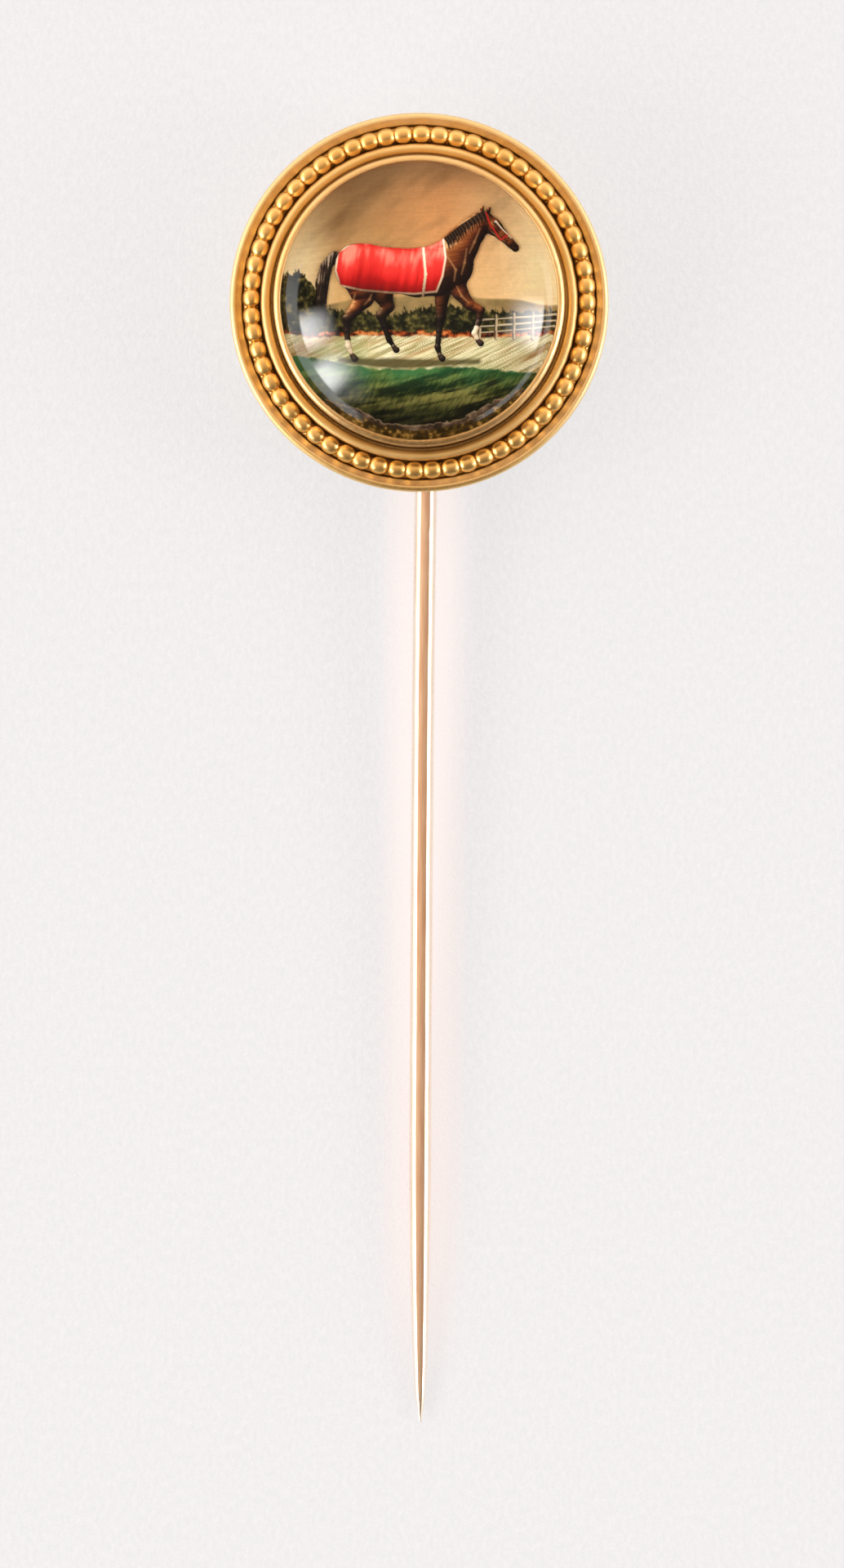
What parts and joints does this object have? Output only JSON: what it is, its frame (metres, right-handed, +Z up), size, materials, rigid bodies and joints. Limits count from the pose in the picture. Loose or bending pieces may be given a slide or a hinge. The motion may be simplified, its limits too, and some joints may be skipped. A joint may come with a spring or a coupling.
{
  "type": "stick pin",
  "caption": "Round gold stick pin with a beaded border, a domed crystal over a small painted animal picture, and a long straight pointed stem.",
  "frame": {"origin": "on the surface that the pin lies on, under the middle of its length and width", "axes": "+Z up, the way the picture faces; +Y towards the top of the head, with the point at the -Y end"},
  "size_m": [0.02, 0.0691, 0.009],
  "materials": {
    "matt_gold": "matt yellow gold, softly bloomed",
    "bead_gold": "satin yellow gold beads",
    "bright_gold": "burnished pale gold with tool marks",
    "crystal": "clear polished rock crystal",
    "paint": "hand-painted picture in oil colours",
    "rose_gold": "polished rose gold"
  },
  "bodies": {
    "root": {"head_frame": "matt_gold", "beaded_ring": "bead_gold", "inner_ring": "matt_gold", "bezel": "bright_gold", "crystal": "crystal", "painted_plate": "paint", "stem": "rose_gold"}
  },
  "joints": []
}
